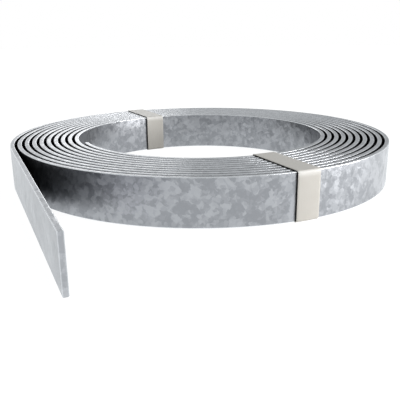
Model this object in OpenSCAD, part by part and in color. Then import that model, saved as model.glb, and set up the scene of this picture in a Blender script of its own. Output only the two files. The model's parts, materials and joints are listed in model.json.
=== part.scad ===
// Coil of galvanized flat bar, lying flat with the bar standing on edge.
// The bar is one rolled length: an inner end cut square in the eye, open turns that wind outwards,
// and a straight tail that leaves the last turn at a tangent. Two packing straps hold the turns together.

/* [Bar] */
// Width of the flat bar, which stands upright in the coil
bar_w = 40; // [20:1:80]
// Thickness of the flat bar
bar_t = 4; // [2:0.5:8]
// Radius of the bar's four arrises, softened by rolling and by the zinc
arris_r = 0.6; // [0.2:0.1:0.9]

/* [Coil] */
// Diameter of the eye, measured inside the first half turn
eye_d = 242; // [160:1:400]
// Number of full turns
turns = 10; // [4:1:16]
// Open gap from one turn to the next
turn_gap = 2.8; // [1.5:0.1:8]
// Length of the straight tail
tail_len = 240; // [40:1:500]
// Azimuth of the inner end, where the tail leaves the coil too
end_azimuth = 203.5; // [0:0.5:359.5]

/* [Straps] */
// Width of a strap
strap_w = 21; // [10:1:40]
// Thickness of a strap
strap_t = 0.5; // [0.4:0.1:2]
// Angle along the turns from the inner end to the front strap
front_turn = 91.8; // [30:0.1:150]
// Angle to the back strap, counted from half a turn past the inner end
back_turn = 93.5; // [30:0.1:150]
// Clearance between a strap and the bar where it is drawn tight, and under the bar
strap_clearance = 0.05; // [0.02:0.01:0.5]
// Slack of a strap over the top of the turns
strap_lift = 0.5; // [0.05:0.05:3]
// Slack of the front strap outside the coil
front_slack = 1.3; // [0.05:0.05:4]
// Slack of the back strap in the eye
back_slack = 2; // [0.05:0.05:4]

/* [Hidden] */

// Angle of a half turn
half_turn_deg = 180;
// Radial step from one turn to the next
pitch = bar_t + turn_gap;
// The coil is made of half turns, counted from 0 at the eye
last_half = 2 * turns - 1;
// The bar stands on the straps' lower legs
bar_z = strap_t + strap_clearance;
// How far a cutting shape reaches past what it cuts
overrun = 5;
// Sides of a full circle, for the turns and for the round corners of a section
turn_sides = 180;
arc_sides = 24;

// Radius of a half turn at the middle of the bar: each is half a pitch wider than the one before
function half_radius(k) = (eye_d + bar_t + k * pitch) / 2;

// Centre of a half turn: the even halves share the eye's axis and the odd ones lie half a pitch off it,
// so that the arcs meet end to end with a common tangent and every turn stays one pitch from the next
function half_centre(k) = k % 2 * pitch / 2;

// Inside radius of a strap's bend, which clears the bar's arris by the gap at its side
function bend_radius(gap) = arris_r + gap;

// Right half of an upright rectangle, standing on y = 0, with round corners on its right
module half_section(w, h, r) {
    square([w / 2 - r, h]);
    translate([0, r])
        square([w / 2, h - 2 * r]);
    for (y = [r, h - r])
        translate([w / 2 - r, y])
            circle(r, $fn = arc_sides);
}

// Upright rectangle with its own corner radius on either side
module rounded_section(w, h, left_r, right_r) {
    half_section(w, h, right_r);
    mirror([1, 0])
        half_section(w, h, left_r);
}

module bar_section() {
    rounded_section(bar_t, bar_w, arris_r, arris_r);
}

// Turns a section about the upright axis through half k's centre, over that half turn
module sweep_half(k) {
    translate([half_centre(k), 0, 0])
        rotate([0, 0, k % 2 * half_turn_deg])
            rotate_extrude(angle = half_turn_deg, $fn = turn_sides)
                children();
}

// The half turns on one side of the coil, from half k outwards, turned together
module half_turns(k) {
    translate([0, 0, bar_z])
        sweep_half(k)
            for (n = [k : 2 : last_half])
                translate([half_radius(n), 0])
                    bar_section();
}

module tail() {
    translate([half_centre(last_half) + half_radius(last_half), tail_len, bar_z])
        rotate([90, 0, 0])
            linear_extrude(tail_len)
                bar_section();
}

// Closed loop of strap round the coil's section, in half k of each turn and at an angle along that half.
// It is a band with parallel sides, bent to the turns that it lies on. Its lower leg is under the bar,
// and it stands off the bar by inner_gap in the eye, by outer_gap outside and by strap_lift on top.
module strap(k, turn, inner_gap, outer_gap) {
    inner_x = half_radius(k) - bar_t / 2 - inner_gap;
    outer_x = half_radius(last_half - 1 + k) + bar_t / 2 + outer_gap;
    hollow_w = outer_x - inner_x;
    hollow_h = strap_clearance + bar_w + strap_lift;
    inner_r = bend_radius(inner_gap);
    outer_r = bend_radius(outer_gap);
    height = hollow_h + 2 * strap_t;
    reach = outer_x + strap_t + overrun;
    intersection() {
        sweep_half(k)
            translate([(inner_x + outer_x) / 2, 0])
                difference() {
                    rounded_section(hollow_w + 2 * strap_t, height, inner_r + strap_t, outer_r + strap_t);
                    translate([0, strap_t])
                        rounded_section(hollow_w, hollow_h, inner_r, outer_r);
                }
        translate([half_centre(k), 0, 0])
            rotate([0, 0, turn + k * half_turn_deg])
                translate([0, -strap_w / 2, -overrun])
                    cube([reach, strap_w, height + 2 * overrun]);
    }
}

module flat_bar() {
    color([0.66, 0.69, 0.72])
        rotate([0, 0, end_azimuth]) {
            half_turns(0);
            half_turns(1);
            tail();
        }
}

module strap_front() {
    color([0.85, 0.81, 0.73])
        rotate([0, 0, end_azimuth])
            strap(0, front_turn, strap_clearance, front_slack);
}

module strap_back() {
    color([0.85, 0.81, 0.73])
        rotate([0, 0, end_azimuth])
            strap(1, back_turn, back_slack, strap_clearance);
}

flat_bar();
strap_front();
strap_back();
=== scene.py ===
# %% [markdown]
# # A coil of galvanized flat bar
# The object is one long flat bar of steel, dipped in molten zinc and wound on edge into ten open
# turns. Its outer end is left straight, and two packing straps keep the turns together.
#
# The measured solids of the coil are made already. This lesson dresses them in Blender: it winds a
# smooth bar with Geometry Nodes, lays two straps round the turns, and gives the zinc and the
# plastic their finish. Lengths are in metres, in the frame of the solids, so that each piece made
# here lies where its solid lies.

# %% Load the solids
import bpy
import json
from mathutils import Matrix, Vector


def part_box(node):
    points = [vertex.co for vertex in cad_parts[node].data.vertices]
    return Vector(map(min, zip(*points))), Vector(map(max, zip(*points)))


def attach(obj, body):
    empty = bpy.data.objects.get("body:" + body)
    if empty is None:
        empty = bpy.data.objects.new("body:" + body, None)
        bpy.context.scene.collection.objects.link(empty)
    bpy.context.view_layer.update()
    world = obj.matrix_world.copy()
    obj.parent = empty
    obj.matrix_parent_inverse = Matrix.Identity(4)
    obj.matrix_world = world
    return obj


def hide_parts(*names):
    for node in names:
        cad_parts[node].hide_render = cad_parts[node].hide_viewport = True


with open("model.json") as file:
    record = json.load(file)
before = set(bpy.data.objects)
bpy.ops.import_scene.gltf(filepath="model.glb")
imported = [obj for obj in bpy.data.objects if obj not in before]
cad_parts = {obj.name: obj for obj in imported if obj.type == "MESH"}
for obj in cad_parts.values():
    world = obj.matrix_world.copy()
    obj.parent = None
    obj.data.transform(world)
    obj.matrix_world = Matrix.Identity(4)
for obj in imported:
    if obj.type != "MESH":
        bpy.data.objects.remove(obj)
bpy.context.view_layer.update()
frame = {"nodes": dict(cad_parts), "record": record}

print("solids:", sorted(frame["nodes"]))

# %% [markdown]
# ## Sizes
# A coil is fixed by a few numbers: the section of the bar, the eye in the middle, the gap from turn
# to turn, the count of turns, and the length and direction of the tail. All of them could be typed
# in. Those that the solids can tell are read from them instead, so that this file can't drift away
# from what was measured.
#
# The spiral is drawn the way a mason sets out a scroll: as half circles, each half a pitch wider
# than the one before, struck from two centres in turn. They meet end to end without a kink.

# %% Sizes of the bar and of the coil
import json
import math

import bpy
from mathutils import Matrix, Vector

MM = 0.001
mounts = {mount["name"]: mount for mount in frame["record"]["mounts"]}
bar_low, bar_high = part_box("flat_bar")
bar_z = bar_low.z
bar_width = bar_high.z - bar_low.z
bar_thickness = 4 * MM
arris_radius = 0.6 * MM
eye_radius = mounts["eye"]["dims"]["r_mm"] * MM
turn_gap = 2.8 * MM
turns = 10
tail_length = 240 * MM
tail_out = mounts["tail_side"]["axis"]
end_azimuth = math.atan2(tail_out[1], tail_out[0])
pitch = bar_thickness + turn_gap
halves = 2 * turns


def half_radius(half):
    """Radius of a half turn, at the middle of the bar's thickness."""
    return eye_radius + bar_thickness / 2 + half * pitch / 2


def length_to(half):
    """Length of bar that is wound before this half turn begins."""
    return sum(math.pi * half_radius(k) for k in range(half))


bar_length = length_to(halves) + tail_length
print(f"bar {bar_width / MM:.1f} x {bar_thickness / MM:.1f} mm, {bar_length:.3f} m long")

# %% [markdown]
# ## Camera
# The photograph was taken from in front of the coil, a little above it, with a normal lens. A
# camera can be aimed by eye, but the coil's own ellipses say where it stood: the place, angles and
# lens below are those at which the outlines of the solids fall on the outlines in the picture.

# %% Camera
camera_place = Vector((-3.1, -579.8, 144.6)) * MM
look_down = math.radians(17.13)
look_right = math.radians(-0.07)
tilt = math.radians(-0.61)
sensor_width = 36.0
focal_length = 50.08

lens = bpy.data.cameras.new("camera")
lens.sensor_fit = "HORIZONTAL"
lens.sensor_width = sensor_width
lens.lens = focal_length
lens.clip_start = 10 * MM
camera = bpy.data.objects.new("camera", lens)
turned = Matrix.Rotation(-look_right, 4, "Z") @ Matrix.Rotation(math.pi / 2 - look_down, 4, "X")
camera.matrix_world = Matrix.Translation(camera_place) @ turned @ Matrix.Rotation(tilt, 4, "Z")
bpy.context.scene.collection.objects.link(camera)
bpy.context.scene.camera = camera
print(f"camera {camera_place.length:.3f} m from the middle of the coil, lens {focal_length} mm")

# %% [markdown]
# ## Node arithmetic
# Both the shapes and the finishes below are node trees. Their formulas could be wired one Math node
# at a time, which is long to write and hard to read. The small class here lets a node's output
# stand in an ordinary sum: each plus or times adds one Math node to the tree, so that a formula in
# the script reads as on paper.

# %% Helpers for node trees
def join(tree, value, socket):
    """Links a field or an output to an input, or sets a plain value on it."""
    if isinstance(value, Field):
        value = value.socket
    if isinstance(value, bpy.types.NodeSocket):
        tree.links.new(value, socket)
    else:
        socket.default_value = value


def add_node(tree, kind, inputs=None, **options):
    """Adds a node, sets its options, then its inputs by name or number."""
    node = tree.nodes.new(kind)
    for option, value in options.items():
        setattr(node, option, value)
    for key, value in (inputs or {}).items():
        join(tree, value, node.inputs[key])
    return node


class Field:
    """An output of a node that can be used in arithmetic."""

    def __init__(self, socket):
        self.socket = socket

    def math(self, operation, *values):
        """Adds one Math node that takes these values."""
        tree = self.socket.id_data
        node = add_node(tree, "ShaderNodeMath", dict(enumerate(values)), operation=operation)
        return Field(node.outputs[0])

    def __add__(self, other):
        return self.math("ADD", self, other)

    def __sub__(self, other):
        return self.math("SUBTRACT", self, other)

    def __rsub__(self, other):
        return self.math("SUBTRACT", other, self)

    def __mul__(self, other):
        return self.math("MULTIPLY", self, other)

    def __truediv__(self, other):
        return self.math("DIVIDE", self, other)

    def __rtruediv__(self, other):
        return self.math("DIVIDE", other, self)

    def __gt__(self, other):
        return self.math("GREATER_THAN", self, other)

    def __lt__(self, other):
        return self.math("LESS_THAN", self, other)

    def __mod__(self, other):
        return self.math("MODULO", self, other)

    def __abs__(self):
        return self.math("ABSOLUTE", self)

    __radd__ = __add__

    def floor(self):
        return self.math("FLOOR", self)

    def root(self):
        return self.math("SQRT", self)

    def sine(self):
        return self.math("SINE", self)

    def cosine(self):
        return self.math("COSINE", self)

    def at_most(self, other):
        return self.math("MINIMUM", self, other)

    def at_least(self, other):
        return self.math("MAXIMUM", self, other)

    def ramp(self, start, end, low=0.0, high=1.0):
        """Goes from low to high as the field goes from start to end, easing in and out."""
        node = add_node(self.socket.id_data, "ShaderNodeMapRange", {
            "Value": self, "From Min": start, "From Max": end, "To Min": low, "To Max": high,
        }, interpolation_type="SMOOTHSTEP")
        return Field(node.outputs["Result"])


print("node arithmetic ready")

# %% [markdown]
# ## Rounded rectangles
# Two shapes here are a rectangle with round corners: the section of the bar, and the way of a strap
# round the turns. Blender has a Quadrilateral and a Fillet node for that, but after them a long
# side is one edge between two arcs, and smooth shading then smears the arc's slope over the whole
# side. So the points are placed by a formula, with one holding point on the flat beside each arc:
# the bend stays crisp and the flat shades flat.

# %% Points round a rectangle
QUARTER_TURN = math.pi / 2
CORNERS = 4
HOLDING_POINTS = 2
HOLD = 0.3 * MM


def points_per_corner(steps):
    """Points of one corner: those of its arc, and a holding point on either side."""
    return steps + 1 + HOLDING_POINTS


def loop_count(steps):
    """Points of a whole loop."""
    return CORNERS * points_per_corner(steps)


def round_corner_loop(index, steps, sides, levels, radii):
    """Fields x and y of points counted anticlockwise round a rectangle, from its right side upwards.

    sides, levels and radii are pairs: left and right, low and high, and the corner radius on the
    left and on the right.
    """
    # Corner 0 is high on the right, and its first and last point are holding points
    corner = (index / points_per_corner(steps)).floor()
    step = index - corner * points_per_corner(steps)
    right = ((corner + 0.5) * QUARTER_TURN).cosine() > 0.0
    high = corner < 1.5
    radius = radii[0] + (radii[1] - radii[0]) * right
    left_centre = sides[0] + radii[0]
    right_centre = sides[1] - radii[1]
    centre_x = left_centre + (right_centre - left_centre) * right
    centre_y = levels[0] + radius + (levels[1] - levels[0] - radius * 2.0) * high
    turn = ((step - 1.0) / steps).at_least(0.0).at_most(1.0)
    angle = (corner + turn) * QUARTER_TURN
    slide = ((step > steps + 1.5) - (step < 0.5)) * HOLD
    x = centre_x + radius * angle.cosine() - slide * angle.sine()
    y = centre_y + radius * angle.sine() + slide * angle.cosine()
    return x, y


print("a loop with 4 steps a corner has", loop_count(4), "points")

# %% [markdown]
# ## Trees that make shapes
# A Geometry Nodes tree can be wired by hand in its editor. Written down, it can be made again at any
# time and checked line by line. The sizes of a piece are named inputs of its tree, so that one tree
# can make several pieces: here both straps come from the same one.

# %% Helpers for Geometry Nodes
def start_tree(name, sizes, counts=()):
    """A Geometry Nodes tree with named inputs, and the fields that they give."""
    tree = bpy.data.node_groups.new(name, "GeometryNodeTree")
    for label in sizes:
        tree.interface.new_socket(label, in_out="INPUT", socket_type="NodeSocketFloat")
    for label in counts:
        tree.interface.new_socket(label, in_out="INPUT", socket_type="NodeSocketInt")
    tree.interface.new_socket("Finish", in_out="INPUT", socket_type="NodeSocketMaterial")
    tree.interface.new_socket("Geometry", in_out="OUTPUT", socket_type="NodeSocketGeometry")
    entry = tree.nodes.new("NodeGroupInput")
    fields = {socket.name: Field(socket) for socket in entry.outputs if socket.name}
    return tree, fields


def index_of(tree):
    """The number of each point."""
    return Field(tree.nodes.new("GeometryNodeInputIndex").outputs[0])


def vector(tree, x, y, z):
    return add_node(tree, "ShaderNodeCombineXYZ", {"X": x, "Y": y, "Z": z}).outputs[0]


def shape_node(tree, kind, inputs, **options):
    """The geometry that a node puts out."""
    return add_node(tree, kind, inputs, **options).outputs[0]


def point_curve(tree, count, x, y):
    """A curve of straight steps through count points, each placed by the fields x and y."""
    line = shape_node(tree, "GeometryNodeCurvePrimitiveLine", {})
    points = shape_node(tree, "GeometryNodeResampleCurve", {"Curve": line, "Count": count}, mode="COUNT")
    place = vector(tree, x, y, 0.0)
    return shape_node(tree, "GeometryNodeSetPosition", {"Geometry": points, "Position": place})


def store(tree, geometry, name, value):
    """Keeps a field on the points, under a name that a material can ask for."""
    kept = {"Geometry": geometry, "Name": name, "Value": value}
    return shape_node(tree, "GeometryNodeStoreNamedAttribute", kept)


def end_tree(tree, geometry, finish):
    """Smooth shading, real geometry and the finish close every tree."""
    smooth = shape_node(tree, "GeometryNodeSetShadeSmooth", {"Geometry": geometry})
    real = shape_node(tree, "GeometryNodeRealizeInstances", {"Geometry": smooth})
    done = shape_node(tree, "GeometryNodeSetMaterial", {"Geometry": real, "Material": finish})
    tree.links.new(done, tree.nodes.new("NodeGroupOutput").inputs[0])


print("shape helpers ready")

# %% [markdown]
# ## From a tree to a piece
# What a tree makes is there only as long as its modifier is. A piece that leaves Blender has to be a
# plain mesh, so the modified object is evaluated once, its mesh is kept, and the modifiers go.

# %% Helpers for pieces
def make_piece(name, tree, values, finishing=()):
    """An object with the plain mesh that the tree and any finishing modifiers give."""
    piece = bpy.data.objects.new(name, bpy.data.meshes.new(name))
    bpy.context.scene.collection.objects.link(piece)
    shape = piece.modifiers.new("shape", "NODES")
    shape.node_group = tree
    for item in tree.interface.items_tree:
        if item.in_out == "INPUT":
            shape[item.identifier] = values[item.name]
    for kind, options in finishing:
        modifier = piece.modifiers.new(kind.lower(), kind)
        for option, value in options.items():
            setattr(modifier, option, value)
    depsgraph = bpy.context.evaluated_depsgraph_get()
    made = piece.evaluated_get(depsgraph)
    mesh = bpy.data.meshes.new_from_object(made, preserve_all_data_layers=True, depsgraph=depsgraph)
    piece.modifiers.clear()
    piece.data = mesh
    return piece


def report(piece, node):
    """Prints how large a piece is, and how far its box is from the box of its solid."""
    corners = [piece.matrix_world @ Vector(corner) for corner in piece.bound_box]
    low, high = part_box(node)
    off = 0.0
    for axis in range(3):
        off = max(off, abs(min(corner[axis] for corner in corners) - low[axis]))
        off = max(off, abs(max(corner[axis] for corner in corners) - high[axis]))
    triangles = sum(len(face.vertices) - 2 for face in piece.data.polygons)
    print(f"{piece.name}: {triangles} triangles, box within {off / MM:.3f} mm of the solid's")


zinc = bpy.data.materials.new("zinc")
strap_plastic = bpy.data.materials.new("strap_plastic")
print("finishes to fill in later:", zinc.name, "and", strap_plastic.name)

# %% [markdown]
# ## The bar
# The real bar is rolled, cut to length, dipped in zinc and coiled. A Screw modifier can wind a
# spiral, but it can't end in a straight tail. Here a Geometry Nodes tree numbers the points of one
# long curve. Each number says in which half turn the point lies and how far round it, or how far
# out along the tail.

# %% The bar's path
steps_per_half = 72
tail_steps = 12

bar_tree, size = start_tree(
    "wound bar",
    ("Eye Radius", "Bar Width", "Bar Thickness", "Arris Radius", "Turn Gap", "Tail Length",
     "End Azimuth", "Lift"),
    ("Turns",),
)
spiral_pitch = size["Bar Thickness"] + size["Turn Gap"]
last_half = size["Turns"] * 2.0 - 1.0
number = index_of(bar_tree)
half = (number / steps_per_half).floor().at_most(last_half)
within = number - half * steps_per_half
wound = within.at_most(steps_per_half)
beyond = within - wound
angle = (half + wound / steps_per_half) * math.pi
radius = size["Eye Radius"] + size["Bar Thickness"] * 0.5 + half * spiral_pitch * 0.5
centre = half % 2.0 * spiral_pitch * 0.5
path_count = size["Turns"] * (2.0 * steps_per_half) + (tail_steps + 1.0)
path_x = centre + radius * angle.cosine()
path_y = radius * angle.sine() + beyond * size["Tail Length"] / tail_steps
path = point_curve(bar_tree, path_count, path_x, path_y)
print("points along the path:", halves * steps_per_half + tail_steps + 1)

# %% [markdown]
# The curve then carries the bar's section from end to end. On the way the tree keeps three lengths
# on every point: along the bar, up its width, and through its thickness. They are the bar laid out
# flat again, so that the zinc pattern follows the strip as it did in the bath.

# %% Sweep the bar's section
arris_steps = 4

spline = bar_tree.nodes.new("GeometryNodeSplineParameter")
path = store(bar_tree, path, "along", spline.outputs["Length"])
path = shape_node(bar_tree, "GeometryNodeTransform", {
    "Geometry": path,
    "Translation": vector(bar_tree, 0.0, 0.0, size["Lift"] + size["Bar Width"] * 0.5),
    "Rotation": vector(bar_tree, 0.0, 0.0, size["End Azimuth"]),
})
path = shape_node(bar_tree, "GeometryNodeSetCurveNormal", {"Curve": path}, mode="Z_UP")

half_thickness = size["Bar Thickness"] * 0.5
half_width = size["Bar Width"] * 0.5
section_x, section_y = round_corner_loop(
    index_of(bar_tree), arris_steps,
    (half_thickness * -1.0, half_thickness), (half_width * -1.0, half_width),
    (size["Arris Radius"], size["Arris Radius"]),
)
section = point_curve(bar_tree, loop_count(arris_steps), section_x, section_y)
section = store(bar_tree, section, "across", section_x)
section = store(bar_tree, section, "up", section_y * -1.0)
section = shape_node(bar_tree, "GeometryNodeSetSplineCyclic", {"Geometry": section, "Cyclic": True})
swept = shape_node(bar_tree, "GeometryNodeCurveToMesh",
                   {"Curve": path, "Profile Curve": section, "Fill Caps": True})
end_tree(bar_tree, swept, size["Finish"])

flat_bar = make_piece("wound_flat_bar", bar_tree, {
    "Eye Radius": eye_radius, "Bar Width": bar_width, "Bar Thickness": bar_thickness,
    "Arris Radius": arris_radius, "Turn Gap": turn_gap, "Tail Length": tail_length,
    "End Azimuth": end_azimuth, "Lift": bar_z, "Turns": turns, "Finish": zinc,
})
print("faces of the bar:", len(flat_bar.data.polygons))

# %% [markdown]
# ## The bar unrolled
# When a piece leaves Blender, its pattern goes along as a picture on a UV map. Smart UV Project
# would cut a bar of ten metres into hundreds of scraps. A strip is easier to unroll than that:
# peeled open along one arris and cut into ten rows, it nearly fills a square, and the pattern breaks
# only where one row ends and the next begins. First the strip is measured. The points of the mesh
# lie ring after ring along the bar, so a point's number says where it is.

# %% Measure the strip
row_count = 10
row_margin = 2 * MM
ring_points = loop_count(arris_steps)
mesh = flat_bar.data
place_along = [point.value for point in mesh.attributes["along"].data]
place_up = [point.value for point in mesh.attributes["up"].data]
place_across = [point.value for point in mesh.attributes["across"].data]
bar_end = max(place_along)
girth = [0.0]
for point in range(ring_points):
    following = (point + 1) % ring_points
    step_across = place_across[following] - place_across[point]
    step_up = place_up[following] - place_up[point]
    girth.append(girth[-1] + math.hypot(step_across, step_up))
row_length = bar_length / row_count
row_height = girth[-1] + 2 * row_margin
map_size = row_length + 4 * row_margin
print(f"strip: {bar_end:.3f} m long, {girth[-1] / MM:.1f} mm round the section")

# %% [markdown]
# Then every corner of every face gets its place on the map. The long faces go into the rows, and the
# two cut ends lie side by side above them.

# %% Lay the strip out in rows
STRIP_FACE_POINTS = 4
cap_room = 1.2 * bar_width
cap_level = row_count * row_height + row_margin + bar_thickness / 2
unrolled = mesh.uv_layers.new(name="OFBake")


def strip_place(point, side, row):
    """Place of a point of the strip, in metres on the map."""
    sideways = 2 * row_margin + place_along[point] - row * row_length
    upwards = row * row_height + row_margin + girth[-1] - girth[side]
    return sideways, upwards


def cap_place(point):
    """Place of a point of a cut end, in metres on the map."""
    facing = -1 if point < ring_points else 1
    return cap_room * (1 + facing / 2) + place_up[point], cap_level + facing * place_across[point]


for face in mesh.polygons:
    points = list(face.vertices)
    middle = sum(place_along[point] for point in points) / len(points)
    row = min(int(middle / row_length), row_count - 1)
    sides = [point % ring_points for point in points]
    if max(sides) - min(sides) > 1:
        sides = [side or ring_points for side in sides]
    for corner, point, side in zip(face.loop_indices, points, sides):
        on_strip = len(points) == STRIP_FACE_POINTS
        place = strip_place(point, side, row) if on_strip else cap_place(point)
        unrolled.data[corner].uv = [length / map_size for length in place]
print(f"unrolled: {row_count} rows of {row_length:.3f} m")

# %% [markdown]
# The dressed bar stands for its solid from here on.

# %% The bar takes its solid's place
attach(flat_bar, "root")
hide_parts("flat_bar")
report(flat_bar, "flat_bar")

# %% [markdown]
# ## The straps
# Each strap is a flat band that lies under the bar, comes up on both sides and closes over the top.
# It isn't drawn quite tight: it stands off the bar on top and on one side, and that gap shows as a
# dark line, partly because the zinc under the strap is painted dark as shade.
#
# A strap could be cut out of a ring. Rolling up a flat grid is closer to the real thing: the rows of
# the grid go round a rounded rectangle, its columns lie across the band, and every point is then
# pulled onto the turns, which curve away to either side.

# %% A tree for the straps
bend_steps = 8
columns = 13
seam = 0.01 * MM

strap_tree, size = start_tree(
    "strap loop",
    ("Inner Radius", "Outer Radius", "Inner Bend", "Outer Bend", "Height", "Thickness", "Width",
     "Azimuth", "Centre X", "Centre Y"),
)
rows = loop_count(bend_steps)
band = shape_node(strap_tree, "GeometryNodeMeshGrid", {"Vertices X": rows + 1, "Vertices Y": columns})
number = index_of(strap_tree)
row = (number / columns).floor()
aside = ((number - row * columns) / (columns - 1.0) - 0.5) * size["Width"]
middle = size["Thickness"] * 0.5
reach, rise = round_corner_loop(
    row % rows, bend_steps,
    (size["Inner Radius"] - middle, size["Outer Radius"] + middle),
    (middle, size["Height"] - middle),
    (size["Inner Bend"] + middle, size["Outer Bend"] + middle),
)
out = (reach * reach - aside * aside).root()
place = vector(strap_tree, out, aside, rise)
band = shape_node(strap_tree, "GeometryNodeSetPosition", {"Geometry": band, "Position": place})
band = store(strap_tree, band, "aside", aside)
band = shape_node(strap_tree, "GeometryNodeMergeByDistance", {"Geometry": band, "Distance": seam})
band = shape_node(strap_tree, "GeometryNodeTransform", {
    "Geometry": band,
    "Translation": vector(strap_tree, size["Centre X"], size["Centre Y"], 0.0),
    "Rotation": vector(strap_tree, 0.0, 0.0, size["Azimuth"]),
})
end_tree(strap_tree, band, size["Finish"])
print("points of a strap's sheet:", rows * columns)

# %% [markdown]
# The tree gives a bare sheet. Solidify makes it as thick as the real band, and Bevel rounds its cut
# edges, so that they catch a thin line of light. Each strap lies over its own half of the turns.

# %% Lay the straps
strap_width = 21 * MM
strap_thickness = 0.5 * MM
strap_clearance = 0.05 * MM
strap_lift = 0.5 * MM
front_slack = 1.3 * MM
back_slack = 2 * MM
strap_height = 2 * strap_thickness + strap_clearance + bar_width + strap_lift
strap_turns = (math.radians(91.8), math.radians(93.5))
thicken = {"thickness": strap_thickness, "offset": 0.0, "use_even_offset": True}
round_edges = {
    "width": 0.12 * MM, "segments": 2,
    "limit_method": "ANGLE", "angle_limit": math.radians(60),
}


def strap_place(half):
    """Azimuth of the strap over this half of the turns, and the centre of that half."""
    azimuth = end_azimuth + strap_turns[half] + half * math.pi
    centre = Vector((math.cos(end_azimuth), math.sin(end_azimuth))) * (half * pitch / 2)
    return azimuth, centre


def make_strap(name, node, half, inner_gap, outer_gap):
    azimuth, centre = strap_place(half)
    strap = make_piece(name, strap_tree, {
        "Inner Radius": half_radius(half) - bar_thickness / 2 - inner_gap,
        "Outer Radius": half_radius(halves - 2 + half) + bar_thickness / 2 + outer_gap,
        "Inner Bend": arris_radius + inner_gap, "Outer Bend": arris_radius + outer_gap,
        "Height": strap_height, "Thickness": strap_thickness, "Width": strap_width,
        "Azimuth": azimuth, "Centre X": centre.x, "Centre Y": centre.y, "Finish": strap_plastic,
    }, (("SOLIDIFY", thicken), ("BEVEL", round_edges)))
    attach(strap, "root")
    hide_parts(node)
    report(strap, node)


make_strap("packing_strap_front", "strap_front", 0, strap_clearance, front_slack)
make_strap("packing_strap_back", "strap_back", 1, back_slack, strap_clearance)

# %% [markdown]
# ## Mottling
# No surface that was dipped, rolled or handled is even. Zinc clouds over in the air, and plastic
# picks up dust and rub marks. Both finishes use the same kind of soft unevenness, so it is one
# shader group: it takes a place on the piece and the size of the clouds and of the grain, and gives
# a cloud value and a fine grain, each from 0 to 1.

# %% Shared shader group
def start_group(name, takes, gives):
    """A shader group with named sockets: its tree, the fields that it takes, its output node."""
    tree = bpy.data.node_groups.new(name, "ShaderNodeTree")
    for label, kind in takes.items():
        tree.interface.new_socket(label, in_out="INPUT", socket_type=kind)
    for label in gives:
        tree.interface.new_socket(label, in_out="OUTPUT", socket_type="NodeSocketFloat")
    entry = tree.nodes.new("NodeGroupInput")
    fields = {socket.name: Field(socket) for socket in entry.outputs if socket.name}
    return tree, fields, tree.nodes.new("NodeGroupOutput")


mottle, taken, given = start_group(
    "mottle",
    {"Place": "NodeSocketVector", "Cloud Size": "NodeSocketFloat", "Grain Size": "NodeSocketFloat"},
    ("Cloud", "Grain"),
)
noises = {"Cloud": {"Detail": 3.0, "Roughness": 0.55}, "Grain": {"Detail": 2.0, "Roughness": 0.6}}
for label, kind in noises.items():
    noise = add_node(mottle, "ShaderNodeTexNoise", {
        "Vector": taken["Place"], "Scale": 1.0 / taken[label + " Size"], **kind,
    })
    mottle.links.new(noise.outputs["Fac"], given.inputs[label])


def mottled(tree, place, cloud_size, grain_size):
    """The cloud and grain fields of the shared group, at these sizes."""
    worn = add_node(tree, "ShaderNodeGroup", {
        "Place": place, "Cloud Size": cloud_size, "Grain Size": grain_size,
    }, node_tree=mottle)
    return Field(worn.outputs["Cloud"]), Field(worn.outputs["Grain"])


print("shader group:", mottle.name)

# %% [markdown]
# ## Starting a finish
# Each finish of the coil is one Principled shader, and all that varies over the surface is worked
# out in front of it. Four helpers cover most of that: a fresh material, a length that was kept on the
# points, a mix of two colours, and sums with whole vectors.

# %% Helpers for finishes
HALF_WAY = (0.5, 0.5, 0.5)


def start_material(material):
    """Clears a material and gives it one Principled shader."""
    material.use_nodes = True
    tree = material.node_tree
    tree.nodes.clear()
    shader = tree.nodes.new("ShaderNodeBsdfPrincipled")
    tree.links.new(shader.outputs[0], tree.nodes.new("ShaderNodeOutputMaterial").inputs[0])
    return tree, shader


def attribute(tree, name):
    """A length that a Geometry Nodes tree kept on the points."""
    return Field(add_node(tree, "ShaderNodeAttribute", attribute_name=name).outputs["Fac"])


def mix(tree, factor, first, second):
    """Goes from the first colour to the second as the factor goes from 0 to 1."""
    node = add_node(tree, "ShaderNodeMix", data_type="RGBA")
    join(tree, factor, node.inputs["Factor"])
    join(tree, first, node.inputs[6])
    join(tree, second, node.inputs[7])
    return node.outputs[2]


def vector_math(tree, operation, *values):
    """The output of one Vector Math node."""
    node = add_node(tree, "ShaderNodeVectorMath", dict(enumerate(values)), operation=operation)
    return node.outputs["Value" if operation == "DOT_PRODUCT" else "Vector"]


print("finish helpers ready")

# %% [markdown]
# ## Zinc
# Hot-dip zinc sets in crystals. Each patch, the spangle, has its own tone, with a ragged border to
# the next. A photograph of spangle could be wrapped on, but it would repeat and stretch. Voronoi
# cells give the patches, and a noise that pushes the cells about frays their borders. Cells of three
# sizes together make neighbours run into each other, as in the real thing.

# %% Zinc: the spangle
cell_sizes = (3.2 * MM, 6.5 * MM, 14 * MM)
cell_shares = (0.38, 0.4, 0.22)
cell_blur = 0.22
fray_size = 3.5 * MM
fray_reach = 4.5 * MM
darkest_tone = 0.26
lightest_tone = 0.76
zinc_cloud = 60 * MM
zinc_grain = 2 * MM
patch_share = 0.9
mottle_share = 0.25
least_light = 0.05
zinc_dark = (0.24, 0.246, 0.26, 1.0)
zinc_light = (0.356, 0.362, 0.379, 1.0)


def crystals(tree, place, cell_size):
    """Voronoi cells that run together a little: a random vector for each, and a tone from 0 to 1."""
    cells = add_node(tree, "ShaderNodeTexVoronoi", {
        "Vector": place, "Scale": 1.0 / cell_size, "Smoothness": cell_blur,
    }, feature="SMOOTH_F1")
    parts = add_node(tree, "ShaderNodeSeparateColor", {"Color": cells.outputs["Color"]})
    return cells.outputs["Color"], Field(parts.outputs[0])


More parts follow.
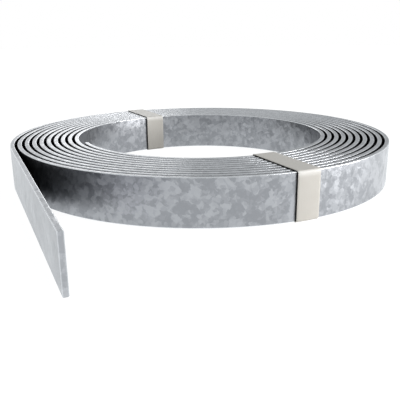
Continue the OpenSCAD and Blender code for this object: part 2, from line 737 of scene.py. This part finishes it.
zinc_tree, zinc_shader = start_material(zinc)
along = attribute(zinc_tree, "along")
up = attribute(zinc_tree, "up")
across = attribute(zinc_tree, "across")
place = vector(zinc_tree, along, up, across)
fray = add_node(zinc_tree, "ShaderNodeTexNoise",
                {"Vector": place, "Scale": 1.0 / fray_size, "Detail": 3.0}).outputs["Color"]
push = vector_math(zinc_tree, "SUBTRACT", fray, HALF_WAY)
pushed = vector_math(zinc_tree, "MULTIPLY_ADD", push, (fray_reach,) * 3, place)
layers = [crystals(zinc_tree, pushed, cell_size) for cell_size in cell_sizes]
leans = [lean for lean, tone in layers]
tones = [tone for lean, tone in layers]
shares = [tone * share for tone, share in zip(tones, cell_shares)]
patch = (shares[0] + shares[1] + shares[2]).ramp(darkest_tone, lightest_tone)
cloud, grain = mottled(zinc_tree, place, zinc_cloud, zinc_grain)
uneven = (cloud - 0.5) * mottle_share + (grain - 0.5) * mottle_share
spangle = mix(zinc_tree, patch * patch_share + uneven + least_light, zinc_dark, zinc_light)
print("layers of crystals:", len(layers))

# %% [markdown]
# ## Rubbed arrises and painted highlights
# Handling rubs the arrises of a bar bright, and the open ones most. The bright line is also a painted
# highlight, the glint that a rounded edge would catch, kept weaker where a neighbouring turn shields
# the arris. A thin bevel in a second material could draw them, but that line would be even all along.
# Here the lengths kept on the points say how near an arris is, and whether a neighbouring turn
# shields it. The cut end of the tail is a little brighter than the sides too, and round its edges a
# painted highlight stands in for the glint of the cut.

# %% Zinc: worn arrises and painted highlights
# Colour of worn zinc, which also serves as the painted highlight along arrises and cut edges
zinc_rub_highlight = (0.79, 0.80, 0.82, 1.0)
rub_width = 0.8 * MM
open_rub_highlight = 0.75
shielded_rub_highlight = 0.48
cut_edge_highlight = 0.38
cut_face_rub = 0.11
end_margin = 0.1 * MM
opening = 60 * MM
last_turn = length_to(halves - 2)
tail_start = length_to(halves)


def near_edge(distance, edge):
    """1 on the edge, and 0 where the worn and highlighted band ends."""
    return distance.ramp(edge - rub_width, edge - arris_radius / 2)


outside = (across > 0.0) * (along > end_margin) * along.ramp(last_turn + opening, last_turn)
inside = (across < 0.0) * (along > length_to(2)) * along.ramp(tail_start + opening, tail_start)
shielded = outside + inside
edge_across = near_edge(abs(across), bar_thickness / 2)
arris = near_edge(abs(up), bar_width / 2) * edge_across
cut_edge = near_edge(along, bar_end) * edge_across
cut_face = along > bar_end - end_margin
# Painted highlight on the arrises and round the cut end, on top of real wear; weaker where shielded
rub_and_highlight = arris * (open_rub_highlight - shielded * (open_rub_highlight - shielded_rub_highlight))
rub_and_highlight = rub_and_highlight.at_least(cut_edge * cut_edge_highlight).at_least(cut_face * cut_face_rub)
bright = mix(zinc_tree, rub_and_highlight, spangle, zinc_rub_highlight)
print(f"arrises rubbed bright over {rub_width / MM:.1f} mm")

# %% [markdown]
# ## Dark gaps
# A gap between two turns is about fourteen times as deep as it is wide, so next to no light comes
# back out of it. Bouncing rays could find that out, but between two walls of metal that takes very
# many of them.
# So the shade is painted into the colour instead: the walls darken with depth, and the zinc under a
# strap is painted dark as well.

# %% Zinc: painted shade in the gaps and under the straps
gap_start = 0.7 * MM
gap_deep = 1.7 * MM
strap_edge = 0.4 * MM
deepest_shade = 0.96
painted_shade_black = (0.004, 0.004, 0.005, 1.0)
object_place = add_node(zinc_tree, "ShaderNodeTexCoord").outputs["Object"]


def under_strap(half):
    """1 on the zinc that a strap covers, which gets painted shade, and 0 elsewhere."""
    azimuth, centre = strap_place(half)
    sideways = (-math.sin(azimuth), math.cos(azimuth), 0.0)
    outwards = (math.cos(azimuth), math.sin(azimuth), 0.0)
    moved = vector_math(zinc_tree, "SUBTRACT", object_place, (centre.x, centre.y, 0.0))
    aside = Field(vector_math(zinc_tree, "DOT_PRODUCT", moved, sideways))
    out = Field(vector_math(zinc_tree, "DOT_PRODUCT", moved, outwards))
    return abs(aside).ramp(strap_width / 2, strap_width / 2 - strap_edge) * (out > 0.0)


# Painted shade: the gap walls darken with depth, and the zinc under a strap is painted dark
gap_shade = shielded * (bar_width / 2 - up).ramp(gap_start, gap_deep)
under_strap_shade = under_strap(0) + under_strap(1)
shade = (gap_shade.at_least(under_strap_shade) * deepest_shade).at_most(1.0)
join(zinc_tree, mix(zinc_tree, shade, bright, painted_shade_black), zinc_shader.inputs["Base Color"])
print(f"gaps dark from {gap_deep / MM:.1f} mm down")

# %% [markdown]
# ## Gloss of the zinc
# Spangle flickers because each crystal lies at its own small angle and mirrors another bit of the
# room. Bump alone would only show at the borders. So the random vector of each cell tips the
# surface's normal a little, and a fine bump comes on top. Clouded zinc is duller, a worn arris is
# smoother.

# %% Zinc: gloss
zinc_roughness = 0.25
crystal_roughness = 0.06
cloud_roughness = 0.1
rubbed_smoothness = 0.1
crystal_lean = 0.07
bump_strength = 0.25
bump_depth = 0.2 * MM
grain_height = 0.4
patch_height = 0.5

dullness = zinc_roughness + tones[0] * crystal_roughness + cloud * cloud_roughness
join(zinc_tree, dullness - rub_and_highlight * rubbed_smoothness, zinc_shader.inputs["Roughness"])
zinc_shader.inputs["Metallic"].default_value = 1.0
lean = vector_math(zinc_tree, "SUBTRACT", leans[1], HALF_WAY)
flat = add_node(zinc_tree, "ShaderNodeNewGeometry").outputs["Normal"]
tipped = vector_math(zinc_tree, "MULTIPLY_ADD", lean, (crystal_lean,) * 3, flat)
bump = add_node(zinc_tree, "ShaderNodeBump", {
    "Strength": bump_strength, "Distance": bump_depth,
    "Height": grain * grain_height + patch * patch_height,
    "Normal": vector_math(zinc_tree, "NORMALIZE", tipped),
})
zinc_tree.links.new(bump.outputs[0], zinc_shader.inputs["Normal"])
print("zinc:", len(zinc_tree.nodes), "nodes")

# %% [markdown]
# ## Strap plastic
# The straps are extruded plastic band, beige, with a low sheen and faint lines along their length
# from the die. A plain colour would look like paper. The lines are a noise stretched along the band,
# which stirs the colour, the roughness and a little bump, and the shared mottling adds dust.
#
# Such plastic turns pale where it is bent sharply, and a fold also catches a highlight. The pale
# band here is mostly a painted highlight: it is lightest just below the top fold and fades down the
# face. The folds could be painted by hand. Those that show lie at the top of the turns, so the colour
# simply follows how far a point is below the top.

# %% Strap plastic: colour
strap_beige = (0.532, 0.504, 0.459, 1.0)
strap_dusty = (0.578, 0.553, 0.515, 1.0)
# Colour of the painted highlight along the top folds
pale_highlight_colour = (0.75, 0.73, 0.695, 1.0)
line_size = 0.8 * MM
strap_cloud = 14 * MM
strap_grain = 0.6 * MM
cloud_dust = 1.2
line_dust = 0.6
grain_dust = 0.3
even_dust = 0.3
fold_start = 0.1 * MM
fold_white = 0.7 * MM
fold_end = 6.5 * MM

plastic_tree, plastic_shader = start_material(strap_plastic)
across_band = vector(plastic_tree, attribute(plastic_tree, "aside"), 0.0, 0.0)
object_place = add_node(plastic_tree, "ShaderNodeTexCoord").outputs["Object"]
cloud, grain = mottled(plastic_tree, object_place, strap_cloud, strap_grain)
lines = Field(add_node(plastic_tree, "ShaderNodeTexNoise", {
    "Vector": across_band, "Scale": 1.0 / line_size, "Detail": 2.0,
}).outputs[0])
dust = (cloud - 0.5) * cloud_dust + (lines - 0.5) * line_dust + (grain - 0.5) * grain_dust
dusty = mix(plastic_tree, dust + even_dust, strap_beige, strap_dusty)
height = Field(add_node(plastic_tree, "ShaderNodeSeparateXYZ", {0: object_place}).outputs["Z"])
drop = strap_height - height
# Painted highlight: a pale band just below the top fold, fading down the face; plastic also whitens at
# folds
fold_highlight_mask = drop.ramp(fold_start, fold_white) * drop.ramp(fold_end, fold_white)
fold_highlit_colour = mix(plastic_tree, fold_highlight_mask, dusty, pale_highlight_colour)
join(plastic_tree, fold_highlit_colour, plastic_shader.inputs["Base Color"])
print(f"folds pale from {fold_start / MM:.1f} to {fold_end / MM:.1f} mm below the top")

# %% [markdown]
# The sheen of the band is as uneven as its colour: dust makes it duller in clouds, and the lines of
# the die break it up along the length.

# %% Strap plastic: sheen
strap_roughness = 0.26
cloud_roughness = 0.15
line_roughness = 0.1
bump_strength = 0.3
bump_depth = 0.1 * MM
grain_height = 0.3

dullness = cloud * cloud_roughness + lines * line_roughness + strap_roughness
join(plastic_tree, dullness, plastic_shader.inputs["Roughness"])
plastic_shader.inputs["Specular IOR Level"].default_value = 0.3
bump = add_node(plastic_tree, "ShaderNodeBump", {
    "Strength": bump_strength, "Distance": bump_depth, "Height": lines + grain * grain_height,
})
plastic_tree.links.new(bump.outputs[0], plastic_shader.inputs["Normal"])
print("strap plastic:", len(plastic_tree.nodes), "nodes")

# %% [markdown]
# ## Floor
# The coil lies on white, and the white runs on behind it. Bright metal is a mirror of its
# surroundings, so the white has to be there for reflections too, and not only for the camera. A
# floor that only glows would lift the coil off the ground, because nothing could shade it. A floor
# that is only painted would turn grey at the back. So it has both, and the Light Path node shares
# them out: the camera gets mostly glow, with a thin coat of paint that takes the coil's shadow, and
# reflections get the glow with more paint under it. All other light finds plain white paint.

# %% A white floor
floor_size = 8.0
paint_level = 0.85
seen_paint = 0.22
seen_glow = 0.92
mirrored_paint = 0.5
mirrored_glow = 1.05
missing_red = 0.045
missing_green = 0.015

floor_mesh = bpy.data.meshes.new("floor")
reach = floor_size / 2
corners = [(-reach, -reach, 0.0), (reach, -reach, 0.0), (reach, reach, 0.0), (-reach, reach, 0.0)]
floor_mesh.from_pydata(corners, [], [(0, 1, 2, 3)])
floor = bpy.data.objects.new("floor", floor_mesh)
bpy.context.scene.collection.objects.link(floor)


def ray_kinds(tree):
    """Two fields: 1 for rays from the camera or through a clear piece, and 1 for reflected rays."""
    path = tree.nodes.new("ShaderNodeLightPath")
    seen = Field(path.outputs["Is Camera Ray"]).at_least(Field(path.outputs["Is Transmission Ray"]))
    return seen, Field(path.outputs["Is Glossy Ray"])


def cool_white(tree, seen):
    """White where it is seen, and a trace blue where it lights or is mirrored."""
    cool = 1.0 - seen
    return vector(tree, 1.0 - cool * missing_red, 1.0 - cool * missing_green, 1.0)


paper = bpy.data.materials.new("white_paper")
paper.use_nodes = True
tree = paper.node_tree
tree.nodes.clear()
seen, mirrored = ray_kinds(tree)
grey = paint_level + seen * (seen_paint - paint_level) + mirrored * (mirrored_paint - paint_level)
paint = add_node(tree, "ShaderNodeBsdfDiffuse", {"Color": vector(tree, grey, grey, grey)})
glow = add_node(tree, "ShaderNodeEmission", {
    "Color": cool_white(tree, seen), "Strength": seen * seen_glow + mirrored * mirrored_glow,
})
surface = add_node(tree, "ShaderNodeAddShader", {0: paint.outputs[0], 1: glow.outputs[0]})
tree.links.new(surface.outputs[0], tree.nodes.new("ShaderNodeOutputMaterial").inputs[0])
floor_mesh.materials.append(paper)
print("floor", floor_size, "m wide")

# %% [markdown]
# ## Surroundings
# The room round the coil is a white dome. If the metal mirrored an even white all round, its faces
# would look like paint. So what it mirrors is graded by height: dimmer along the horizon, full white
# above it, and a little dimmer overhead. A room built from walls and a ceiling could do that too, but
# it would stand in the way when the coil is looked at from other sides.

# %% A white dome
dome_light = 0.5
mirrored_horizon = 0.58
mirrored_sky = 1.0
mirrored_zenith = 0.8
horizon_end = 0.14
sky_start = 0.26
sky_end = 0.32
zenith_start = 0.75

world = bpy.data.worlds.new("studio")
bpy.context.scene.world = world
world.use_nodes = True
tree = world.node_tree
tree.nodes.clear()
seen, mirrored = ray_kinds(tree)
direction = add_node(tree, "ShaderNodeTexCoord").outputs["Generated"]
rise = Field(add_node(tree, "ShaderNodeSeparateXYZ", {0: direction}).outputs["Z"])
sky = rise.ramp(horizon_end, sky_start, mirrored_horizon, mirrored_sky)
sky = sky + rise.ramp(sky_end, zenith_start, 0.0, mirrored_zenith - mirrored_sky)
level = dome_light + mirrored * (sky - dome_light) + seen * (1.0 - dome_light)
dome = add_node(tree, "ShaderNodeBackground", {"Color": cool_white(tree, seen), "Strength": level})
tree.links.new(dome.outputs[0], tree.nodes.new("ShaderNodeOutputWorld").inputs[0])
print("dome light:", dome_light)

# %% [markdown]
# ## Lamps
# Soft lamps add what the even white can't: direction. A low bright one on the right lights the outer
# face beside the front strap, and a softer one high on the right lights the straps. A wide one far
# back on the left and a small one close behind the coil whiten the tops of the turns. One strong lamp
# could light it all, but would leave a single hard streak on each turn.
#
# A large lamp needs more power than a small one to look as bright. So each is given the brightness of
# its face, and the power follows from that and from its area.

# %% Lamps
lamp_table = (
    # name, place, width, height, brightness of the face
    ("back left lamp", (-0.87, 1.9, 0.32), 1.0, 0.56, 0.75),
    ("near back lamp", (-0.18, 0.6, 0.24), 0.3, 0.12, 2.6),
    ("right lamp", (1.2, -0.26, 0.14), 0.8, 0.27, 18.5),
    ("high right lamp", (0.88, -0.55, 0.55), 0.7, 0.3, 5.2),
)


def soft_lamp(name, place, width, height, brightness):
    """An oblong area lamp that points at the middle of the coil."""
    lamp = bpy.data.lights.new(name, "AREA")
    lamp.shape = "RECTANGLE"
    lamp.size = width
    lamp.size_y = height
    lamp.energy = brightness * math.pi * width * height
    holder = bpy.data.objects.new(name, lamp)
    aim = (-Vector(place)).to_track_quat("-Z", "Y")
    holder.matrix_world = Matrix.Translation(place) @ aim.to_matrix().to_4x4()
    bpy.context.scene.collection.objects.link(holder)


for lamp_row in lamp_table:
    soft_lamp(*lamp_row)
bpy.context.scene.view_settings.view_transform = "Standard"
print("lamps:", [light.name for light in bpy.data.lights])
